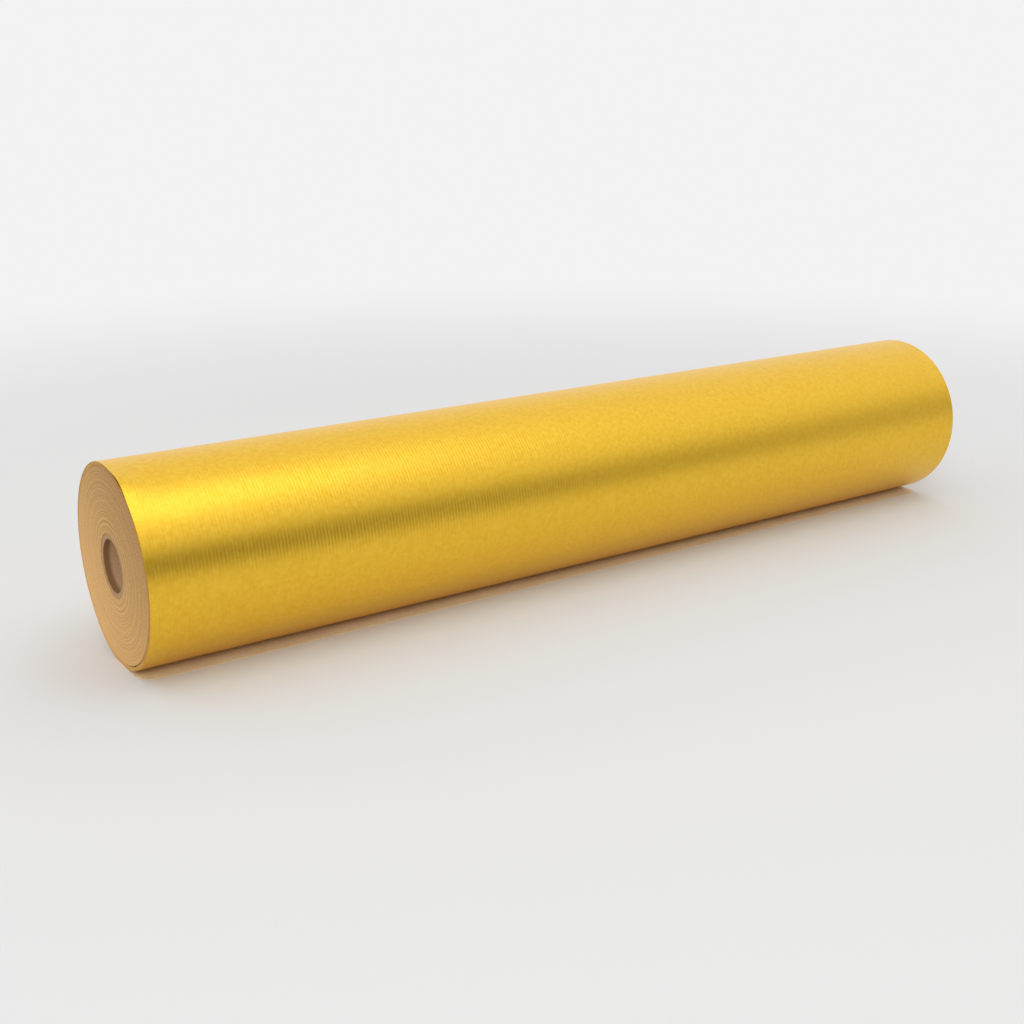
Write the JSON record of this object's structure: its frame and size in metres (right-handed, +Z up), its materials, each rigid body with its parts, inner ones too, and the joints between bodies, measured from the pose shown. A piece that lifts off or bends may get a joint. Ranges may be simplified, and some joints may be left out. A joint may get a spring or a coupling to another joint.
{
  "type": "roll of sign vinyl",
  "caption": "Roll of gold-faced sign vinyl on a kraft liner, wound on a spiral board core with an open bore, lying on its side with a short loose end of the web in front.",
  "frame": {"origin": "under the middle of the roll, on the surface that it rests on", "axes": "+X along the roll's axis, -Y towards the side where the web's loose end lies, +Z up"},
  "size_m": [0.61, 0.112, 0.1118],
  "materials": {
    "core_board": "matte grey-brown core board",
    "core_liner": "matte brown kraft board",
    "tape": "matte translucent tape",
    "wound_web_edge": "matte cut edges of kraft liner",
    "gold_film": "satin metallic gold with fine ribs",
    "kraft_liner": "matte natural kraft"
  },
  "bodies": {
    "roll": {"core_inner_ply": "core_liner", "core_body_ply_1": "core_board", "core_body_ply_2": "core_board", "core_body_ply_3": "core_board", "core_body_ply_4": "core_board", "core_body_ply_5": "core_board", "core_outer_ply": "core_board", "start_tape": "tape", "wound_web": "wound_web_edge", "outer_wrap_film": "gold_film", "outer_wrap_liner": "kraft_liner"},
    "tail": {"tail_film": "gold_film", "tail_liner": "kraft_liner"}
  },
  "joints": [
    {"name": "tail_lift", "type": "hinge", "parent": "roll", "child": "tail", "pos_m": [0, -0.016, 0.00022], "axis": [-1, 0, 0], "range_deg": [0, 18], "stiffness_Nm_per_rad": 0.09}
  ]
}
